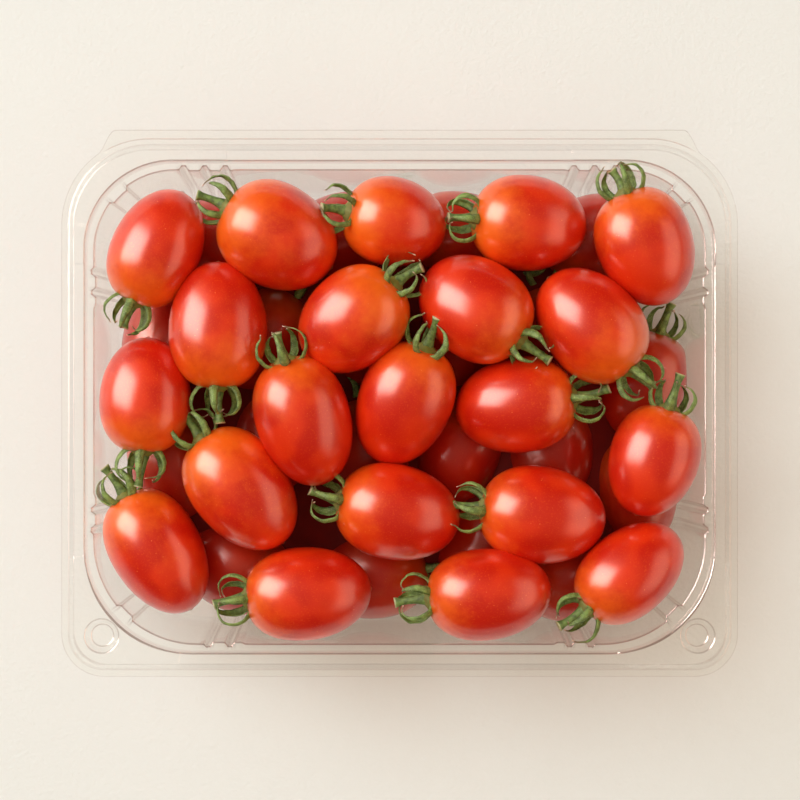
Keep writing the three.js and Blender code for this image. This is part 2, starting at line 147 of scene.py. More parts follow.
def straight(side, rows, pad_at=math.inf):
    """Stations along half or all of one straight side, close together over its flutes.

    From pad_at on, the plateau is raised by a short ramp."""
    places = {place for place in (pad_at - PAD_RAMP, pad_at, pad_at + PAD_RAMP) if place < math.inf}
    for row in rows:
        start = min(row["at"][0], row["end"]) - FLUTE_FOOT
        stop = max(row["at"][-1], row["end"]) + FLUTE_FOOT
        places.update(np.linspace(start, stop, round((stop - start) / STATION_STEP) + 1).tolist())
    stations = []
    for at in sorted(places):
        push = sum(flute_push(row, at) for row in rows)
        raised = smooth(pad_at - PAD_RAMP, pad_at + PAD_RAMP, at) if pad_at < math.inf else 0
        stations.append({
            "side": side, "sign": 1, "at": at, "push": push, "raised": raised, "strip": 0})
    return stations


def back_side():
    stations = straight("back", [BACK_FLUTES], BACK_PAD_AT)
    for station in stations:
        station["strip"] = 1
    return stations


def corner(end, sign):
    """Stations round one corner, on rays from the middle of the wall's corner arc."""
    stations = []
    for angle in np.arange(0, 90 + CORNER_STEP, CORNER_STEP).tolist():
        stations.append({
            "side": "corner",
            "end": end,
            "sign": sign,
            "angle": math.radians(angle),
            "push": -LUG_IN * hump(CORNER_LUG[end], angle),
            "raised": hump(FRONT_PAD, angle) if end == "front" else 1,
            "strip": smooth(*STRIP_BLEND, angle) if end == "back" else 0,
        })
    return stations


def mirrored(stations):
    return [{**station, "at": -station["at"]} for station in reversed(stations)]


def round_the_rim():
    front = straight("front", [FRONT_FLUTES])
    right = straight("side", [SIDE_FRONT_FLUTES, SIDE_BACK_FLUTES], SIDE_PAD_AT)
    left = [{**station, "sign": -1} for station in reversed(right)]
    back = back_side()
    return [
        *mirrored(front),
        *front,
        *reversed(corner("front", 1)),
        *right,
        *corner("back", 1),
        *reversed(back),
        *reversed(mirrored(back)),
        *reversed(corner("back", -1)),
        *left,
        *corner("front", -1),
    ]


def rim_point(line, station, push):
    """Where a line of the profile passes one station."""
    half_x = HALF_LENGTH - line["inset"]
    front_y = FRONT_Y + line["inset"]
    back_y = BACK_Y - line["inset"]
    if station["side"] == "front":
        return station["at"], front_y - push
    if station["side"] == "back":
        return station["at"], back_y + push
    if station["side"] == "side":
        return station["sign"] * (half_x + push), station["at"]
    end = station["end"]
    front = end == "front"
    far_y = -front_y if front else back_y
    head_y = -(FRONT_Y + WALL_HEAD["inset"]) if front else BACK_Y - WALL_HEAD["inset"]
    middle_x = HALF_LENGTH - WALL_HEAD["inset"] - WALL_HEAD[end]
    middle_y = head_y - WALL_HEAD[end]
    ray_x, ray_y = math.cos(station["angle"]), math.sin(station["angle"])
    radius = line[end]
    to_x, to_y = half_x - radius - middle_x, far_y - radius - middle_y
    along = to_x * ray_x + to_y * ray_y
    reach = along + math.sqrt(max(along**2 - to_x**2 - to_y**2 + radius**2, 0))
    reach_x = (half_x - middle_x) / max(ray_x, 1e-9)
    reach_y = (far_y - middle_y) / max(ray_y, 1e-9)
    if middle_y + reach_x * ray_y <= far_y - radius:
        reach = reach_x
    if middle_x + reach_y * ray_x <= half_x - radius:
        reach = reach_y
    x = middle_x + ray_x * (reach + push)
    y = middle_y + ray_y * (reach + push)
    return station["sign"] * x, -y if front else y


def wall_inset(z):
    return WALL_HEAD["inset"] + (SHELF_Z - z) * math.tan(WALL_DRAFT)


def below_head(inset, z, wall):
    """A line of the profile below the wall's head, with corners that keep its middle."""
    deeper = inset - WALL_HEAD["inset"]
    return {
        "inset": inset,
        "front": WALL_HEAD["front"] - deeper,
        "back": WALL_HEAD["back"] - deeper,
        "z": z,
        "wall": wall,
        "pad": 0,
        "crease": 0,
        "fold": 0,
    }


def tray_profile():
    """The upper face of the sheet from the outer edge to the floor, its bends rounded."""
    level = {"wall": 0, "pad": 0, "crease": 0}
    crease = [
        {**LIP, **level, "z": LIP_Z, "inset": at, "front": LIP["front"] - at, "back": LIP["back"] - at}
        for at in CREASE_INSETS
    ]
    crease[0]["fold"] = EDGE_FOLD
    crease[CREASE_LOWEST]["crease"] = 1
    lines = [
        crease[-1],
        {**STEP_FOOT, **level, "z": LIP_Z},
        {**STEP_HEAD, **level, "z": PLATEAU_Z, "pad": 1},
        {**SHELF_EDGE, **level, "z": PLATEAU_Z, "pad": 1},
        {**SHELF_FOOT, **level, "z": SHELF_Z},
        {**WALL_HEAD, **level, "z": SHELF_Z, "wall": 1},
    ]
    foot = wall_inset(FLOOR_Z + FLOOR_RADIUS)
    rounded = list(crease)
    following = lines[2:] + [below_head(foot, FLOOR_RADIUS, 1)]
    for before, line, after in zip(lines, lines[1:], following):
        shares = []
        for other in (before, after):
            run = math.hypot(other["inset"] - line["inset"], other["z"] - line["z"])
            shares.append(min(BEND / run, BEND_LIMIT))
        for step in range(BEND_STEPS + 1):
            t = step / BEND_STEPS
            point = {}
            for key in line:
                start = line[key] + (before[key] - line[key]) * shares[0]
                stop = line[key] + (after[key] - line[key]) * shares[1]
                point[key] = (1 - t) ** 2 * start + 2 * t * (1 - t) * line[key] + t**2 * stop
            point["fold"] = line["fold"] * math.sin(math.pi * t)
            rounded.append(point)
    for step in range(1, WALL_STEPS):
        z = SHELF_Z + (FLOOR_Z + FLOOR_RADIUS - SHELF_Z) * step / WALL_STEPS
        rounded.append(below_head(wall_inset(z), z, 1))
    for step in range(FLOOR_STEPS + 1):
        turn = math.radians(90 * step / FLOOR_STEPS)
        inset = foot + FLOOR_RADIUS * (1 - math.cos(turn))
        z = FLOOR_Z + FLOOR_RADIUS * (1 - math.sin(turn))
        rounded.append(below_head(inset, z, 1 - step / FLOOR_STEPS))
    return rounded


def moved_square(lines, distance):
    """The profile moved square to the sheet, down and outwards."""
    runs = []
    for line, after in zip(lines, lines[1:]):
        run = Vector((after["inset"] - line["inset"], after["z"] - line["z"]))
        runs.append(Vector((run.y, -run.x)).normalized())
    moved = []
    for index, line in enumerate(lines):
        before, after = runs[max(index - 1, 0)], runs[min(index, len(runs) - 1)]
        mitre = (before + after).normalized()
        mitre *= distance / max(mitre.dot(after), MITRE_LIMIT)
        if index == len(lines) - 1:
            mitre = Vector((0, -distance))
        moved.append({
            **line,
            "inset": line["inset"] + mitre.x,
            "front": line["front"] - mitre.x,
            "back": line["back"] - mitre.x,
            "z": line["z"] + mitre.y,
        })
    return moved


def mesh_piece(name, points, faces):
    """A mesh object from points in millimetres."""
    mesh = bpy.data.meshes.new(name)
    mesh.from_pydata((np.asarray(points, float) * MM).tolist(), [], faces)
    mesh.update()
    piece = bpy.data.objects.new(name, mesh)
    bpy.context.scene.collection.objects.link(piece)
    return piece


def note(piece, name, values):
    """Stores a number, or a vector of three, for each point of a piece."""
    values = np.asarray(values, np.float32)
    kind, field = ("FLOAT_VECTOR", "vector") if values.ndim == 2 else ("FLOAT", "value")
    piece.data.attributes.new(name, kind, "POINT").data.foreach_set(field, values.ravel())


def tray_sheet():
    stations = round_the_rim()
    count = len(stations)
    points, faces, folds = [], [], []
    skins = []
    upper = tray_profile()
    pushes = [station["push"] for station in stations]
    turns = [
        min(abs(pushes[j - 1] - 2 * pushes[j] + pushes[(j + 1) % count]) / RELIEF_TURN, 1)
        for j in range(count)]
    for lines in (upper, moved_square(upper, SHEET)):
        start = len(points)
        for row, line in enumerate(lines):
            for station, turn in zip(stations, turns):
                x, y = rim_point(line, station, station["push"] * line["wall"])
                if row < HEM_LINES:
                    y += (STRIP_Y - row * HEM - y) * station["strip"]
                raised = line["pad"] * station["raised"] * PAD_RISE
                crease = line["crease"] * station["strip"]
                points.append((x, y, line["z"] + raised - crease * CREASE_DEPTH))
                folds.append(line["fold"] + (crease * CREASE_FOLD + line["wall"] * turn * RELIEF_FOLD))
        skins.append(start)
    top, bottom = skins
    rows = len(upper)
    for j in range(count):
        k = (j + 1) % count
        for row in range(rows - 1):
            a, b = row * count + j, row * count + k
            c, d = b + count, a + count
            faces.append((top + a, top + b, top + c, top + d))
            faces.append((bottom + d, bottom + c, bottom + b, bottom + a))
        faces.append((bottom + j, bottom + k, top + k, top + j))
    last = (rows - 1) * count
    faces.append([top + last + j for j in range(count)])
    faces.append([bottom + last + j for j in reversed(range(count))])
    piece = mesh_piece("tray_sheet", points, faces)
    note(piece, "fold", folds)
    return piece


def lathe(name, outline, sides, middle):
    """A closed round body, whose outline of (radius, height, fold) has both ends on the axis."""
    points, faces, folds, rings = [], [], [], []
    for radius, height, fold in outline:
        folds += [fold] * (sides if radius else 1)
        if radius == 0:
            rings.append([len(points)])
            points.append((*middle, height))
            continue
        rings.append(list(range(len(points), len(points) + sides)))
        for side in range(sides):
            turn = 2 * math.pi * side / sides
            points.append((
                middle[0] + radius * math.cos(turn),
                middle[1] + radius * math.sin(turn),
                height,
            ))
    for lower, upper in zip(rings, rings[1:]):
        for side in range(sides):
            after = (side + 1) % sides
            loop = [lower[side % len(lower)], lower[after % len(lower)]]
            loop += [upper[after % len(upper)], upper[side % len(upper)]]
            faces.append(list(dict.fromkeys(loop)))
    piece = mesh_piece(name, points, faces)
    note(piece, "fold", folds)
    return piece


def carve(piece, tool, operation):
    """Joins the tool to the piece or cuts it away, and removes the tool."""
    change = piece.modifiers.new(operation, "BOOLEAN")
    change.operation = operation
    change.solver = "MANIFOLD"
    change.object = tool
    evaluated = piece.evaluated_get(bpy.context.evaluated_depsgraph_get())
    mesh = bpy.data.meshes.new_from_object(evaluated)
    piece.modifiers.clear()
    piece.data = mesh
    bpy.data.objects.remove(tool)


# Round sockets pressed into the two front corner pads take the studs of the lid.
SOCKET_X = 83.5
SOCKET_Y = -65.2
SOCKET_RADIUS = 4.7
SOCKET_FLOOR_RADIUS = 3.3
SOCKET_DEPTH = 2.5
SOCKET_SIDES = 64
# The socket's two bends show this plainly, as painted dark rings and as gloss.
SOCKET_FOLD = 0.6


def add_sockets(sheet):
    floor = TRAY_HEIGHT - SOCKET_DEPTH
    slope = (SOCKET_RADIUS - SOCKET_FLOOR_RADIUS) / SOCKET_DEPTH
    for x in (-SOCKET_X, SOCKET_X):
        skin = [
            (0, floor - SHEET, 0),
            (SOCKET_FLOOR_RADIUS + SHEET * 0.4, floor - SHEET, 0),
            (SOCKET_FLOOR_RADIUS + SHEET, floor - SHEET * 0.4, 0),
            (SOCKET_RADIUS + SHEET, TRAY_HEIGHT - SHEET / 2, 0),
            (0, TRAY_HEIGHT - SHEET / 2, 0),
        ]
        hollow = [
            (0, floor, 0),
            (SOCKET_FLOOR_RADIUS - 0.45, floor, 0),
            (SOCKET_FLOOR_RADIUS - 0.15, floor + 0.1, SOCKET_FOLD),
            (SOCKET_FLOOR_RADIUS + 0.1, floor + 0.4, 0),
            (SOCKET_RADIUS - 0.15, TRAY_HEIGHT - 0.4, 0),
            (SOCKET_RADIUS + 0.05, TRAY_HEIGHT - 0.12, SOCKET_FOLD),
            (SOCKET_RADIUS + 0.4, TRAY_HEIGHT + 0.01, 0),
            (SOCKET_RADIUS + 0.4 + slope, TRAY_HEIGHT + 1, 0),
            (0, TRAY_HEIGHT + 1, 0),
        ]
        carve(sheet, lathe("socket skin", skin, SOCKET_SIDES, (x, SOCKET_Y)), "UNION")
        carve(sheet, lathe("socket hollow", hollow, SOCKET_SIDES, (x, SOCKET_Y)), "DIFFERENCE")


class Socket:
    """One output of a finish's nodes, for sums written as Python expressions."""

    def __init__(self, finish, link):
        self.finish = finish
        self.link = link

    def sum(self, operation, *terms):
        return self.finish.node(
            "ShaderNodeMath", {"operation": operation}, dict(enumerate(terms)))

    def __add__(self, other):
        return self.sum("ADD", self, other)

    def __radd__(self, other):
        return self.sum("ADD", other, self)

    def __sub__(self, other):
        return self.sum("SUBTRACT", self, other)

    def __rsub__(self, other):
        return self.sum("SUBTRACT", other, self)

    def __mul__(self, other):
        return self.sum("MULTIPLY", self, other)

    def __rmul__(self, other):
        return self.sum("MULTIPLY", other, self)

    def __pow__(self, other):
        return self.sum("POWER", self, other)

    def between(self, low, high):
        """0 up to low, 1 from high on, and a smooth rise between them."""
        return self.finish.node(
            "ShaderNodeMapRange",
            {"interpolation_type": "SMOOTHSTEP"},
            {"Value": self, "From Min": low, "From Max": high})


class Finish:
    """The nodes of one material, or of a lamp or the world, each made by the method node."""

    def __init__(self, name, owner=None):
        self.owner = owner or bpy.data.materials.new(name)
        self.owner.use_nodes = True
        self.tree = self.owner.node_tree
        self.tree.nodes.clear()

    def node(self, kind, settings, sockets, out=0):
        made = self.tree.nodes.new(kind)
        for key, value in settings.items():
            setattr(made, key, value)
        for key, value in sockets.items():
            if isinstance(value, Socket):
                self.tree.links.new(value.link, made.inputs[key])
            else:
                made.inputs[key].default_value = value
        return Socket(self, made.outputs[out])

    def attribute(self, name, out="Fac"):
        return self.node("ShaderNodeAttribute", {"attribute_name": name}, {}, out)

    def grain(self, place, size, detail=2, roughness=0.5):
        """Noise from 0 to 1, in lumps of about this many millimetres."""
        return self.node(
            "ShaderNodeTexNoise", {},
            {"Vector": place, "Scale": 1 / (size * MM), "Detail": detail, "Roughness": roughness})

    def mix(self, mask, first, second):
        """The first colour where the mask is 0 and the second where it is 1."""
        return self.node("ShaderNodeMix", {"data_type": "RGBA"}, {0: mask, 6: first, 7: second}, 2)

    def relief(self, height, depth):
        """The normal over a height from 0 to 1 that stands for this many millimetres."""
        return self.node("ShaderNodeBump", {}, {"Height": height, "Distance": depth * MM}, "Normal")

    def skin(self, **sockets):
        return self.node(
            "ShaderNodeBsdfPrincipled", {},
            {key.replace("_", " "): value for key, value in sockets.items()})

    def show(self, shader, output="ShaderNodeOutputMaterial"):
        end = self.tree.nodes.new(output)
        self.tree.links.new(shader.link, end.inputs["Surface"])
        return self.owner


def colour(code):
    """The linear red, green, blue and alpha of a colour written as RRGGBB."""
    parts = [int(code[i:i + 2], 16) / 255 for i in (0, 2, 4)]
    return [c / 12.92 if c <= 0.04045 else ((c + 0.055) / 1.055) ** 2.4 for c in parts] + [1]


# The finish is a little real glass, which bends what lies behind it, and otherwise film.
# The film is glossy along a fold, and where it is seen edge on. There it is also tinted a
# reddish brown: along a fold this is a painted dark line for the tomatoes bent in the fold,
# and edge on it is partly the longer way through the sheet and partly a painted reflection
# of the red tomatoes.
GLASS_SHARE = 0.07
FOLD_PAINTED_LINE = 0.65
EDGE_TINT_AND_PAINTED_REFLECTION = 0.26
FOLD_GLOSS = 0.3
EDGE_GLOSS = 0.36
FLAT_GLOSS = 0.01
SHARP_ANGLE = math.radians(38)


def clear_plastic():
    finish = Finish("clear plastic")
    place = finish.node("ShaderNodeTexCoord", {}, {}, "Object")
    fold = finish.attribute("fold")
    ripple = finish.relief(finish.grain(place, 9, 1), 0.03)
    glass = finish.node(
        "ShaderNodeBsdfGlass", {},
        {"Color": colour("FFFEFC"), "Roughness": 0.01, "IOR": 1.45, "Normal": ripple})
    facing = finish.node("ShaderNodeLayerWeight", {}, {"Blend": 0.5, "Normal": ripple}, "Facing")
    open_way = finish.node("ShaderNodeBsdfTransparent", {}, {"Color": colour("FFFFFE")})
    # Painted reflection: this reddish brown stands for the red tomatoes seen in the sheet, partly the
    # longer way through it.
    long_way_and_painted_red = finish.node("ShaderNodeBsdfTransparent", {}, {"Color": colour("B5826F")})
    mirror = finish.node(
        "ShaderNodeBsdfGlossy", {},
        {"Color": colour("FFFFFF"), "Roughness": 0.06, "Normal": ripple})
    # Painted dark lines along the folds, and a tint edge on that is partly painted reflection.
    tinted = fold * FOLD_PAINTED_LINE + facing ** 6 * EDGE_TINT_AND_PAINTED_REFLECTION
    film = finish.node("ShaderNodeMixShader", {}, {0: tinted, 1: open_way, 2: long_way_and_painted_red})
    glossy = facing ** 5 * EDGE_GLOSS + fold * FOLD_GLOSS + FLAT_GLOSS
    sheet = finish.node("ShaderNodeMixShader", {}, {0: glossy, 1: film, 2: mirror})
    seen = finish.node("ShaderNodeMixShader", {}, {0: GLASS_SHARE, 1: sheet, 2: glass})
    shadow = finish.node("ShaderNodeLightPath", {}, {}, "Is Shadow Ray")
    return finish.show(finish.node("ShaderNodeMixShader", {}, {0: shadow, 1: seen, 2: open_way}))


tray = tray_sheet()
add_sockets(tray)
tray.data.shade_smooth()
tray.data.set_sharp_from_angle(angle=SHARP_ANGLE)
tray.data.materials.clear()
tray.data.materials.append(clear_plastic())
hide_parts("tray")
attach(tray, "root")


# ---- how the tomatoes lie -----------------------------------------------
# Twenty tomatoes stand on the floor of the tray, and twenty-one are let down on top of
# them one by one, each until it rests on those before it.

# GAP is the room to the wall and the floor. Two tomatoes of the upper layer rest on each
# other only at NEIGHBOUR_GIVE of their reach, so that close ones lie side by side.
GAP = 0.3
NEIGHBOUR_GIVE = 0.93
BALL_PLACES = (-1, -0.5, 0, 0.5, 1)

# x, y, length, width, then in degrees the heading of the stem end, how far it tilts up,
# and how far the first sepal is turned from the upper side.
LOWER_FRUIT = [
    (-52, 47, 34, 26, -20, 0, 0),
    (-17, 49, 34, 26, 10, 0, 36),
    (18, 49.5, 33, 26, 175, 0, 0),
    (57, 48.5, 34, 26, 200, 0, 36),
    (-69, 18, 33, 25.5, -95, 0, 0),
    (-40, 18.5, 34, 26, 52, 0, 0),
    (-9, 19.5, 34, 26, 100, 0, 36),
    (18, 20, 33, 26, 80, 0, 0),
    (45, 18.5, 34, 26, 100, 0, 36),
    (71.5, 5, 34, 25.5, 72, 0, 0),
    (-66.5, -18, 34, 26, 105, 0, 36),
    (-36.5, -12, 33, 26, 75, 0, 0),
    (-9.5, -14.5, 34, 26, 110, 0, 36),
    (17.5, -14, 34, 26, 75, 0, 0),
    (44.5, -15, 33, 26, 92, 0, 36),
    (69.5, -25.5, 34, 25, 98, 0, 0),
    (-47.5, -48.5, 34, 26, -15, 0, 36),
    (-8, -50.5, 34, 26, 8, 0, 0),
    (24, -44, 33, 26, 66, 0, 36),
    (51.5, -51, 34, 26, 185, 0, 0),
]
UPPER_FRUIT = [
    (25.1, -54, 35.7, 26.2, 184, 3, 36),
    (-26.2, -54, 36.2, 26.6, 184, 3, 0),
    (65.5, -48, 34.6, 24.6, -142, 9, 0),
    (-69.2, -42.4, 38.3, 26.2, 120, 3, 36),
    (-0.6, -31, 36, 27.2, 168, 9, 0),
    (-44.9, -24.5, 38.6, 27.2, 128, 3, 36),
    (71.9, -16.2, 32.4, 25.4, 73, 3, 0),
    (40.5, -31.8, 36.4, 27.6, 173, 6, 0),
    (33.2, -0.5, 34.8, 27.6, 7, 10, 0),
    (-72.2, 2, 33.4, 25.6, -92, 3, 0),
    (1.2, -0.1, 37.2, 26.4, 68, 20, 36),
    (-27.1, -5, 38, 27.2, 107, 12, 0),
    (-68.9, 44, 35.2, 25.8, -114, 3, 0),
    (-51.5, 21.8, 36.6, 27.6, -90, 3, 0),
    (-13.2, 23.4, 34, 27.2, 40, 14, 36),
    (21.3, 26.9, 34.2, 28, -37, 12, 36),
    (54, 22.2, 35.8, 27.6, -48, 3, 0),
    (-1.4, 51.4, 30, 25.2, 168, 18, 36),
    (36.7, 51.2, 33.4, 27, 176, 12, 0),
    (69.7, 44.4, 34.4, 27.4, 112, 6, 0),
    (-34.5, 47.3, 35.2, 29.2, 150, 3, 36),
]


def axis_of(heading, tilt):
    """A direction from degrees round from +X and degrees up."""
    turn, lift = math.radians(heading), math.radians(tilt)
    level = math.cos(lift)
    return Vector((math.cos(turn) * level, math.sin(turn) * level, math.sin(lift)))


def balls_at(fruit, z):
    """Five balls strung along a tomato's axis, which stand for it while it settles."""
    x, y, length, width, heading, tilt, _ = fruit
    half, radius = length / 2, width / 2
    spread = half**2 - radius**2
    axis = axis_of(heading, tilt)
    balls = []
    for part in BALL_PLACES:
        at = part * spread / half
        balls.append((Vector((x, y, z)) + axis * at, radius * math.sqrt(1 - at**2 / spread)))
    return balls


def rest_height(fruit, resting):
    """The lowest height at which a tomato clears the floor and those already resting."""
    height = -math.inf
    for centre, radius in balls_at(fruit, 0):
        height = max(height, FLOOR_Z + GAP + radius - centre.z)
        for balls, give in resting:
            for below, other in balls:
                reach = (radius + other) * give
                apart = (centre.x - below.x) ** 2 + (centre.y - below.y) ** 2
                if apart < reach**2:
                    height = max(height, below.z + math.sqrt(reach**2 - apart) - centre.z)
    return height


def settle():
    """Every tomato with the height of its middle, the lower layer first."""
    placed, resting = [], []
    for fruit in LOWER_FRUIT:
        z = rest_height(fruit, [])
        placed.append((fruit, z))
        resting.append((balls_at(fruit, z), 1))
    for fruit in UPPER_FRUIT:
        z = rest_height(fruit, resting)
        placed.append((fruit, z))
        resting.append((balls_at(fruit, z), NEIGHBOUR_GIVE))
    return placed


def place_of(fruit, z):
    """The turn and the place of a tomato, whose own frame has the stem along +Z.

    Its +X is then the upper side of the tomato as it lies."""
    x, y, _, _, heading, tilt, _ = fruit
    axis = axis_of(heading, tilt)
    upper = (Vector((0, 0, 1)) - axis * axis.z).normalized()
    turn = Matrix((upper, axis.cross(upper), axis)).transposed()
    return np.array(turn), np.array((x, y, z))


heap = settle()


# ---- the tomatoes -------------------------------------------------------
# Plum cherry tomatoes: egg-shaped, blunt and dimpled where the stalk joins, narrower at
# the blossom end with a tiny scar. The skin is taut and waxy, over flesh that glows.

EGG = 0.08
BLUNT = 0.94
UNEVEN = 0.012
FURROW = 0.02
LEAN = 0.5
DIMPLE_DEPTH = 1.1
DIMPLE_RADIUS = 4
SCAR_POINT = 0.35
UPPER_DETAIL = (72, 46)
LOWER_DETAIL = (44, 30)
OWN_SPACING = 100


def inside_wall(points):
    """Presses in whatever would come nearer to the wall than the gap."""
    inset = wall_inset(points[:, 2]) + GAP
    deeper = inset - WALL_HEAD["inset"]
    front = points[:, 1] < 0
    radius = np.where(front, WALL_HEAD["front"], WALL_HEAD["back"]) - deeper
    half = np.stack([HALF_LENGTH - inset, np.where(front, -FRONT_Y, BACK_Y) - inset], 1)
    corner_xy = half - radius[:, None]
    beyond = np.abs(points[:, :2]) - corner_xy
    out = np.maximum(beyond, 0)
    reach = np.linalg.norm(out, axis=1)
    over = np.maximum(reach - radius, 0) * (points[:, 2] < SHELF_Z)
    direction = out / np.maximum(reach, 1e-9)[:, None] * np.sign(points[:, :2])
    points[:, :2] -= direction * over[:, None]
    return points


def berry(fruit, draw, sides, rings):
    """The points and faces of one tomato in its own frame, the stem end along +Z."""
    length, width = fruit[2] / 2, fruit[3] / 2
    phases = [draw.uniform(0, 2 * math.pi) for _ in range(3)]
    lean = draw.uniform(-LEAN, LEAN)
    points, faces = [], []
    for ring in range(1, rings):
        turn = math.pi * ring / rings
        radius = width * math.sin(turn) ** BLUNT * (1 - EGG * math.cos(turn))
        share = -math.copysign(abs(math.cos(turn)) ** BLUNT, math.cos(turn))
        height = length * share
        for side in range(sides):
            angle = 2 * math.pi * side / sides
            bulge = 1 + UNEVEN * (
                math.cos(2 * angle + phases[0])
                + 0.6 * math.cos(3 * angle + phases[1])
                + 0.5 * math.cos(4 * angle + phases[2]) * share)
            furrow = 1 - FURROW * math.cos(5 * angle + phases[1]) * max(share, 0) ** 6
            around = radius * bulge * furrow
            dip = DIMPLE_DEPTH * math.exp(-(around / DIMPLE_RADIUS) ** 2) if share > 0 else 0
            x = around * math.cos(angle) + lean * (1 - share**2)
            points.append((x, around * math.sin(angle), height - dip))
    for ring in range(rings - 2):
        for side in range(sides):
            a, b = ring * sides + side, ring * sides + (side + 1) % sides
            faces.append((a, b, b + sides, a + sides))
    blossom, stem = len(points), len(points) + 1
    points += [(0, 0, -length - SCAR_POINT), (0, 0, length - DIMPLE_DEPTH)]
    last = (rings - 2) * sides
    for side in range(sides):
        after = (side + 1) % sides
        faces.append((blossom, after, side))
        faces.append((stem, last + side, last + after))
    return np.array(points), faces


def joined(parts):
    """Lists of points and faces as one list of each."""
    points, faces, start = [], [], 0
    for part_points, part_faces in parts:
        points.append(part_points)
        faces += [[start + corner for corner in face] for face in part_faces]
        start += len(part_points)
    return np.concatenate(points), faces


def tomato_pieces():
    """All tomatoes, with what their skin needs to know at each point.

    own is the place in the tomato's own frame, along runs from blossom to stem, and ripe
    and lower are the same all over one tomato."""
    parts = []
    notes = {"own": [], "along": [], "ripe": [], "lower": []}
    for number, (fruit, z) in enumerate(heap):
        draw = random.Random(number)
        below = number < len(LOWER_FRUIT)
        points, faces = berry(fruit, draw, *(LOWER_DETAIL if below else UPPER_DETAIL))
        turn, middle = place_of(fruit, z)
        parts.append((inside_wall(points @ turn.T + middle), faces))
        notes["own"].append((points + np.array([number * OWN_SPACING, 0, 0])) * MM)
        notes["along"].append(points[:, 2] / fruit[2] + 0.5)
        notes["ripe"].append(np.full(len(points), draw.random()))
        notes["lower"].append(np.full(len(points), below))
    piece = mesh_piece("tomato_berries", *joined(parts))
    for name, values in notes.items():
        note(piece, name, np.concatenate(values))
    return piece


SPECK_SPACING = 1.5


def tomato_skin():
    """Red that turns to orange in clouds and towards the stem, with pores, specks and a scar, and
    painted shade that darkens the lower layer.
    """
    finish = Finish("tomato skin")
    own = finish.attribute("own", "Vector")
    along = finish.attribute("along")
    ripe = finish.attribute("ripe")
    cloud = finish.grain(own, 7, 1) * 0.6 + finish.grain(own, 1.8, 2) * 0.4
    shoulder = along.between(0.45, 1.02)
    orange = (shoulder * 0.7 + (cloud - 0.5) * 0.9 + (ripe - 0.5) * 0.35).between(0, 0.9)
    patches = finish.grain(own, 11, 1).between(0.4, 0.65)
    deep = finish.mix(patches, colour("C91502"), colour("E02C05"))
    pores = finish.grain(own, 0.45, 2).between(0.5, 0.8) * 0.3
    dotted = finish.mix(pores, deep, colour("F05E0F"))
    base = finish.mix(orange, dotted, colour("F2620F"))
    specks = finish.node(
        "ShaderNodeTexVoronoi",
        {"feature": "F1"},
        {"Vector": own, "Scale": 1 / (SPECK_SPACING * MM)},
        "Distance")
    speck = (1 - specks.between(0.05, 0.14)) * finish.grain(own, 3, 0).between(0.5, 0.7) * 0.8
    flecked = finish.mix(speck, base, colour("F07A3C"))
    scar = 1 - along.between(-0.006, 0.004)
    surface = finish.mix(scar, flecked, colour("B8895A"))
    # Painted shade: the tomatoes of the lower layer are mixed towards a dark red.
    lower_layer_painted_shade = finish.mix(finish.attribute("lower") * 0.65, surface, colour("8E0C03"))
    fine = finish.grain(own, 0.5, 1) * 0.5 + finish.grain(own, 3.5, 1) * 0.5
    return finish.show(finish.skin(
        Base_Color=lower_layer_painted_shade,
        Roughness=0.4 + finish.grain(own, 5, 2) * 0.08,
        Specular_IOR_Level=0.45,
        Specular_Tint=colour("FFAE80"),
        Subsurface_Weight=0.12,
        Subsurface_Radius=(1, 0.25, 0.1),
        Subsurface_Scale=2 * MM,
        Coat_Weight=1,
        Coat_IOR=1.5,
        Coat_Roughness=0.2,
        Normal=finish.relief(fine, 0.03),
    ))


tomatoes = tomato_pieces()
tomatoes.data.shade_smooth()
tomatoes.data.materials.append(tomato_skin())
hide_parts("tomatoes")
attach(tomatoes, "root")


# ---- the hidden core ----------------------------------------------------
# A lumpy dark red mass low down in the heap, which closes the gaps between the tomatoes
# of the lower layer. Its dark red is painted shade, as the deep gaps look. It stands clear of the
# walls, behind the tomatoes that line them.

CORE_INSET = 26
CORE_BOTTOM = 4
CORE_TOP = 19
CORE_SQUARENESS = 0.35
CORE_LUMP = 1.5
CORE_LUMP_SIZE = 9
CORE_SIDES = 72
CORE_RINGS = 20


def squared(value):
    return math.copysign(abs(value) ** CORE_SQUARENESS, value)


def core_mass():
    half_x = HALF_LENGTH - CORE_INSET
    half_y = (BACK_Y - FRONT_Y) / 2 - CORE_INSET
    middle_y = (FRONT_Y + BACK_Y) / 2
    half_z = (CORE_TOP - CORE_BOTTOM) / 2
    points, faces = [], []
    for ring in range(1, CORE_RINGS):
        turn = math.pi * ring / CORE_RINGS
        for side in range(CORE_SIDES):
            angle = 2 * math.pi * side / CORE_SIDES
            level = squared(math.sin(turn))
            x = half_x * level * squared(math.cos(angle))
            y = middle_y + half_y * level * squared(math.sin(angle))
            z = CORE_BOTTOM + half_z - half_z * squared(math.cos(turn))
            lump = CORE_LUMP * noise.noise(Vector((x, y, z)) / CORE_LUMP_SIZE)
            points.append((x, y, z + lump))
    for ring in range(CORE_RINGS - 2):
        for side in range(CORE_SIDES):
            a, b = ring * CORE_SIDES + side, ring * CORE_SIDES + (side + 1) % CORE_SIDES
            faces.append((a, b, b + CORE_SIDES, a + CORE_SIDES))
    faces.append(list(reversed(range(CORE_SIDES))))
    faces.append([len(points) - CORE_SIDES + side for side in range(CORE_SIDES)])
    return mesh_piece("heap_core", points, faces)


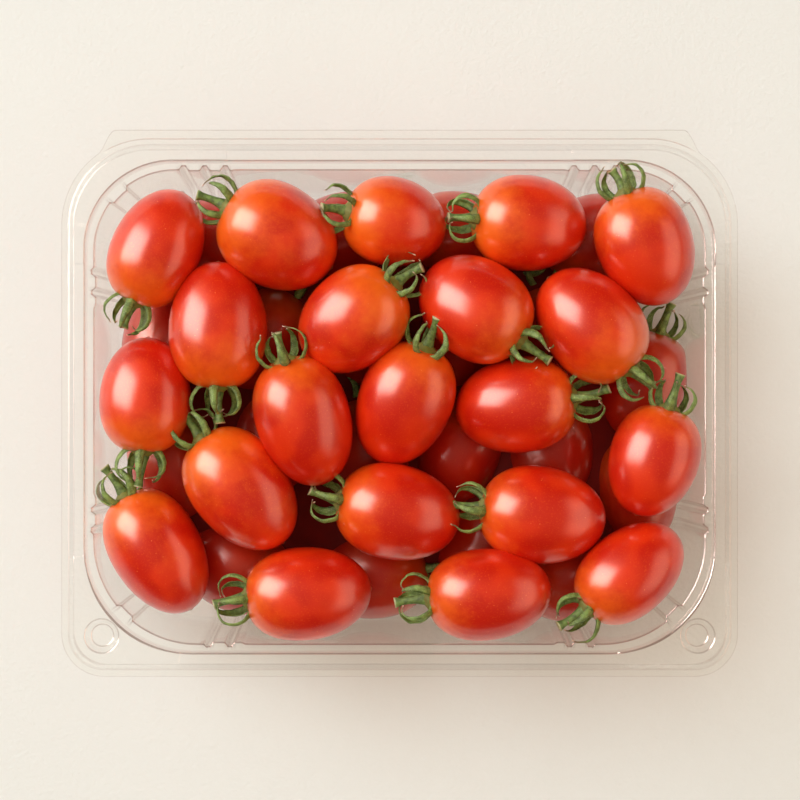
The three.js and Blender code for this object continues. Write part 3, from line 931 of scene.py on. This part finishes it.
def core_painted_shade():
    finish = Finish("shaded flesh")
    place = finish.node("ShaderNodeTexCoord", {}, {}, "Object")
    # Painted shade: the core is coloured a mottled dark red, as shaded gaps in the heap look.
    painted_shade_mottle = finish.mix(finish.grain(place, 6), colour("520803"), colour("740E05"))
    return finish.show(finish.skin(Base_Color=painted_shade_mottle, Roughness=0.7, Specular_IOR_Level=0.1))


core = core_mass()
core.data.shade_smooth()
core.data.materials.append(core_painted_shade())
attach(core, "root")


# ---- the calyxes --------------------------------------------------------
# Five green sepals grow from a small hub on the shoulder of each tomato. They run out
# over the shoulder, then bend up and back in over the stalk, to a thin dry tip.

SEPALS = 5
SEPAL_WIDTH = 3.5
SEPAL_STEPS = 26
SEPAL_SECTION = [
    (-1, 0.8), (-0.62, 0.02), (-0.22, -0.46), (0, -0.62), (0.22, -0.46), (0.62, 0.02), (1, 0.8),
    (0.6, 0.5), (0.2, 0.12), (0, 0.02), (-0.2, 0.12), (-0.6, 0.5)]
SEPAL_EDGE = 0.22
SEPAL_CUP = 0.4
SEPAL_LIFT = 0.1
SEPAL_CRINKLE = 0.25
CALYX_SEED = 1000

# A sepal's root reaches out and droops, and then it turns back in a loop, in degrees.
ROOT_SHARE = 0.16
ROOT_REACH = 3.3
ROOT_DROOP = 0.8
DROOP_SHARE = 0.45
LOOP_RADIUS = 4.2
LOOP_HEIGHT = 0.98
LOOP_END = 222
WIDEST = 0.26
LEAF_END = 0.97
TIP_SHARE = 0.86
TIP_WIDTH = 0.5
TIP_FLICK = 1.1

# The outlines of the hub and the stalk.
HUB_RADIUS = 3
HUB_SIDES = 20
HUB_LOBES = 0.08
STALK_RADIUS = 1.15
STALK_LENGTH = (7.5, 10.5)
STALK_BEND = 1.6
STALK_SIDES = 12
STALK_STEPS = 12


def swept(path, widths, heights, sides, section):
    """A closed strip or tube along a path, with its section scaled at each step."""
    points, faces = [], []
    for step, place in enumerate(path):
        before, after = path[max(step - 1, 0)], path[min(step + 1, len(path) - 1)]
        ahead = (after - before).normalized()
        across = sides[step].normalized()
        lift = ahead.cross(across)
        for u, v in section:
            points.append(place + across * u * widths[step] / 2 + lift * v * heights[step])
    around = len(section)
    for step in range(len(path) - 1):
        for side in range(around):
            a, b = step * around + side, step * around + (side + 1) % around
            faces.append((a, b, b + around, a + around))
    faces.append(list(reversed(range(around))))
    faces.append([len(points) - around + side for side in range(around)])
    return np.array([tuple(point) for point in points]), faces


def sepal(angle, draw, openness):
    """One sepal in the tomato's own frame, with the shoulder at height 0."""
    radius = LOOP_RADIUS * draw.uniform(0.86, 1.08)
    sweep = math.radians(LOOP_END * draw.uniform(0.85, 1.08) * (1 - 0.25 * openness))
    lean = draw.uniform(-0.2, 0.2)
    twist = draw.uniform(-0.5, 0.5)
    flick = Vector((draw.uniform(-1, 1), draw.uniform(-1, 1), draw.uniform(-1, 1)))
    wide = SEPAL_WIDTH * draw.uniform(0.82, 1.05)
    direction = Vector((math.cos(angle), math.sin(angle), 0))
    tangent = Vector((-math.sin(angle), math.cos(angle), 0))
    path, widths, heights, sides = [], [], [], []
    for step in range(SEPAL_STEPS + 1):
        t = step / SEPAL_STEPS
        bent = max(t - ROOT_SHARE, 0) / (1 - ROOT_SHARE)
        turn = math.radians(-90) + sweep * bent
        out = ROOT_REACH * min(t / ROOT_SHARE, 1) + radius * math.cos(turn)
        droop = ROOT_DROOP * math.sin(math.pi * min(t / DROOP_SHARE, 1))
        up = SEPAL_LIFT + radius * LOOP_HEIGHT * (1 + math.sin(turn)) - droop
        aside = lean * radius * 2 * bent**2
        tip = smooth(TIP_SHARE, 1, t)
        flicked = flick * TIP_FLICK * tip * tip
        path.append(direction * out + tangent * aside + Vector((0, 0, up)) + flicked)
        past_widest = min(max(t - WIDEST, 0) / (LEAF_END - WIDEST), 1)
        leaf = min(0.8 + t, 1) * (1 - past_widest ** 1.1)
        width = TIP_WIDTH + (wide - TIP_WIDTH) * leaf
        widths.append(width)
        heights.append(SEPAL_EDGE + SEPAL_CUP * (width - TIP_WIDTH) / 2)
        sides.append(tangent + direction * twist * bent)
    points, faces = swept(path, widths, heights, sides, SEPAL_SECTION)
    own_noise = Vector((angle * 9, 0, 0))
    for point in points:
        crinkle = noise.noise_vector(Vector(point) * 0.6 + own_noise)
        point += SEPAL_CRINKLE * np.array(crinkle)
    return points, faces, np.repeat(np.linspace(0, 1, SEPAL_STEPS + 1), len(SEPAL_SECTION))


def hub():
    """The knob that the sepals and the stalk grow from, with a lobe for each sepal."""
    outline = [(0, -1.6), (HUB_RADIUS * 0.9, -1.4), (HUB_RADIUS * 1.1, -0.3), (HUB_RADIUS, 0.5)]
    outline += [(STALK_RADIUS * 1.8, 1.1), (STALK_RADIUS * 1.2, 1.8), (0, 1.9)]
    points, faces = [(0, 0, outline[0][1])], []
    for radius, height in outline[1:-1]:
        for side in range(HUB_SIDES):
            angle = 2 * math.pi * side / HUB_SIDES
            lobed = radius * (1 + HUB_LOBES * math.cos(SEPALS * angle))
            points.append((lobed * math.cos(angle), lobed * math.sin(angle), height))
    points.append((0, 0, outline[-1][1]))
    rings = len(outline) - 2
    for side in range(HUB_SIDES):
        after = (side + 1) % HUB_SIDES
        faces.append((0, 1 + after, 1 + side))
        for ring in range(rings):
            a, b = 1 + ring * HUB_SIDES + side, 1 + ring * HUB_SIDES + after
            if ring < rings - 1:
                faces.append((a, b, b + HUB_SIDES, a + HUB_SIDES))
            else:
                faces.append((a, b, len(points) - 1))
    return np.array(points, float), faces, np.zeros(len(points))


def stalk(draw):
    """The short stalk, a little bent, swollen at its foot and flared where it was picked."""
    length = draw.uniform(*STALK_LENGTH)
    bend = Vector((draw.uniform(-1, 1), draw.uniform(-1, 1), 0)) * STALK_BEND
    path, widths, sides = [], [], []
    for step in range(STALK_STEPS + 1):
        t = step / STALK_STEPS
        path.append(Vector((0, 0, length * t)) + bend * t * t)
        flare = 0.45 * math.exp(-((1 - t) / 0.12) ** 2) + 0.8 * math.exp(-(t / 0.3) ** 2)
        widths.append(2 * STALK_RADIUS * (0.92 + flare))
        sides.append(Vector((1, 0, 0)))
    angles = [2 * math.pi * side / STALK_SIDES for side in range(STALK_SIDES)]
    section = [(math.cos(angle), math.sin(angle)) for angle in angles]
    points, faces = swept(path, widths, [width / 2 for width in widths], sides, section)
    return points, faces, np.repeat(np.linspace(0, 1, STALK_STEPS + 1), STALK_SIDES)


def calyx_pieces():
    """The sepals and hubs as one piece and the stalks as another, with how near the tip is."""
    noise.seed_set(CALYX_SEED)
    green, stalks = [], []
    tips, ends = [], []
    for number, (fruit, z) in enumerate(heap):
        draw = random.Random(CALYX_SEED + number)
        turn, middle = place_of(fruit, z)
        first = math.radians(fruit[6] + draw.uniform(-8, 8))
        openness = draw.uniform(0, 0.8)
        shoulder = np.array([0, 0, fruit[2] / 2 - DIMPLE_DEPTH * 0.9])
        parts = [hub()]
        parts += [sepal(first + 2 * math.pi * k / SEPALS, draw, openness) for k in range(SEPALS)]
        for points, faces, at in parts:
            green.append(((points + shoulder) @ turn.T + middle, faces))
            tips.append(at)
        points, faces, at = stalk(draw)
        stalks.append(((points + shoulder) @ turn.T + middle, faces))
        ends.append(at)
    calyx = mesh_piece("calyxes", *joined(green))
    note(calyx, "tip", np.concatenate(tips))
    stems = mesh_piece("stalks", *joined(stalks))
    note(stems, "tip", np.concatenate(ends))
    return calyx, stems


def sepal_green():
    finish = Finish("sepal green")
    place = finish.node("ShaderNodeTexCoord", {}, {}, "Object")
    tip = finish.attribute("tip")
    cloud = finish.grain(place, 1.8, 3, 0.6)
    leaf = finish.mix(cloud.between(0.3, 0.7), colour("4A5E1C"), colour("7F9744"))
    hairs = finish.grain(place, 0.3, 2, 0.7).between(0.54, 0.7) * 0.6
    haired = finish.mix(hairs, leaf, colour("B2BE80"))
    rooted = finish.mix(1 - tip.between(0.02, 0.2), haired, colour("7A7626"))
    brown = finish.mix(tip.between(0.82, 0.95), rooted, colour("7D6440"))
    dried = finish.mix(tip.between(0.95, 0.99), brown, colour("D9B596"))
    return finish.show(finish.skin(
        Base_Color=dried,
        Roughness=0.62 + finish.grain(place, 1, 1) * 0.2,
        Subsurface_Weight=0.15,
        Subsurface_Radius=(0.4, 0.7, 0.2),
        Subsurface_Scale=0.8 * MM,
        Normal=finish.relief(finish.grain(place, 0.35, 2), 0.14),
    ))


def stalk_green():
    finish = Finish("stalk green")
    place = finish.node("ShaderNodeTexCoord", {}, {}, "Object")
    tip = finish.attribute("tip")
    cloud = finish.grain(place, 1.2, 2)
    stem = finish.mix(cloud.between(0.3, 0.7), colour("465A1C"), colour("748C3E"))
    cut = finish.mix(tip.between(0.95, 0.99), stem, colour("B3AB78"))
    return finish.show(finish.skin(
        Base_Color=cut,
        Roughness=0.6 + cloud * 0.2,
        Normal=finish.relief(finish.grain(place, 0.4, 2), 0.08),
    ))


calyxes, stems = calyx_pieces()
for piece, finish in ((calyxes, sepal_green()), (stems, stalk_green())):
    piece.data.shade_smooth()
    piece.data.materials.append(finish)
    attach(piece, "root")


# ---- table, light and camera --------------------------------------------
# A pale plastered table under one large soft window at the left and a dim card at the
# right. The camera looks straight down from 0.6 m above the rim.

TABLE_DROP = 0.2
TABLE_HALF = 1500


def table_plaster():
    finish = Finish("table plaster")
    place = finish.node("ShaderNodeTexCoord", {}, {}, "Object")
    tone = finish.mix(finish.grain(place, 60, 3), colour("E4E3DD"), colour("E9E8E2"))
    fine = finish.grain(place, 1.4, 4, 0.6)
    return finish.show(finish.skin(
        Base_Color=tone,
        Roughness=0.75 + fine * 0.1,
        Specular_IOR_Level=0,
        Normal=finish.relief(fine, 0.2),
    ))


corners = [(-1, -1), (1, -1), (1, 1), (-1, 1)]
table = mesh_piece(
    "table",
    [(x * TABLE_HALF, y * TABLE_HALF, -TABLE_DROP) for x, y in corners],
    [(0, 1, 2, 3)])
table.data.materials.append(table_plaster())

# Lights by their direction, distance and size. rim is the share at each edge that fades.
WINDOW = {"azimuth": 157, "elevation": 35, "distance": 2200, "wide": 2200, "tall": 2900, "rim": 0.3}
CARD = {"azimuth": -5, "elevation": 27, "distance": 1200, "wide": 2400, "tall": 1150, "rim": 0.35}
GLOW_AZIMUTH = 142
GLOW_POWER = 85
SHINE_POWER = 262
CARD_POWER = 25


def soft_light(name, spot, power, tint):
    """An area light that faces the tray from a direction in degrees, dimmer towards its rim."""
    direction = axis_of(spot["azimuth"], spot["elevation"])
    lamp = bpy.data.lights.new(name, "AREA")
    lamp.shape = "RECTANGLE"
    lamp.size = spot["wide"] * MM
    lamp.size_y = spot["tall"] * MM
    lamp.energy = power
    lamp.color = colour(tint)[:3]
    glow = Finish(name, lamp)
    place = glow.node("ShaderNodeNewGeometry", {}, {}, "Parametric")
    across = glow.node("ShaderNodeSeparateXYZ", {}, {"Vector": place}, "X")
    along = glow.node("ShaderNodeSeparateXYZ", {}, {"Vector": place}, "Y")
    shine = 1
    for part in (across, along):
        shine = shine * part.between(0, spot["rim"]) * (1 - part.between(1 - spot["rim"], 1))
    glow.show(glow.node("ShaderNodeEmission", {}, {"Strength": shine}), "ShaderNodeOutputLight")
    light = bpy.data.objects.new(name, lamp)
    light.location = direction * spot["distance"] * MM
    light.rotation_euler = direction.to_track_quat("Z", "Y").to_euler()
    bpy.context.scene.collection.objects.link(light)
    return light


# Two lamps make the window: the cool light that it spreads, which falls from a little further
# back, and the warmer shine that it leaves on glossy skins. The card is only seen as a shine.
soft_light("window", {**WINDOW, "azimuth": GLOW_AZIMUTH}, GLOW_POWER, "E2F4FF").visible_glossy = False
soft_light("window_shine", WINDOW, SHINE_POWER, "FFEDE6").visible_diffuse = False
soft_light("card", CARD, CARD_POWER, "FFD8BC").visible_diffuse = False

# The ceiling lights the table evenly, but it is too dark to be seen in the glossy skins.
# Past the table's edge a low view sees a pale backdrop.
CEILING = 1.6
BACKDROP = 0.7
world = bpy.data.worlds.new("room")
room = Finish("room", world)
direction = room.node("ShaderNodeTexCoord", {}, {}, "Generated")
height = room.node("ShaderNodeSeparateXYZ", {}, {"Vector": direction}, "Z")
overhead = height.sum("MAXIMUM", height, 0) ** 2 * CEILING
backdrop = room.node("ShaderNodeLightPath", {}, {}, "Is Camera Ray") * BACKDROP
air = room.node(
    "ShaderNodeBackground", {}, {"Color": colour("FFF0E0"), "Strength": overhead + backdrop})
room.show(air, "ShaderNodeOutputWorld")
world.cycles_visibility.glossy = False
scene = bpy.context.scene
scene.world = world
scene.view_settings.view_transform = "Standard"

# The camera's frame is this wide in the plane of the tray's top, and its middle lies here.
SENSOR = 36
CAMERA_ABOVE = 600
VIEW_WIDTH = 224
VIEW_X, VIEW_Y = 0.1, 0.9
lens = bpy.data.cameras.new("camera")
lens.sensor_width = SENSOR
lens.lens = SENSOR * CAMERA_ABOVE / VIEW_WIDTH
camera = bpy.data.objects.new("camera", lens)
camera.location = Vector((VIEW_X, VIEW_Y, TRAY_HEIGHT + CAMERA_ABOVE)) * MM
scene.collection.objects.link(camera)
scene.camera = camera
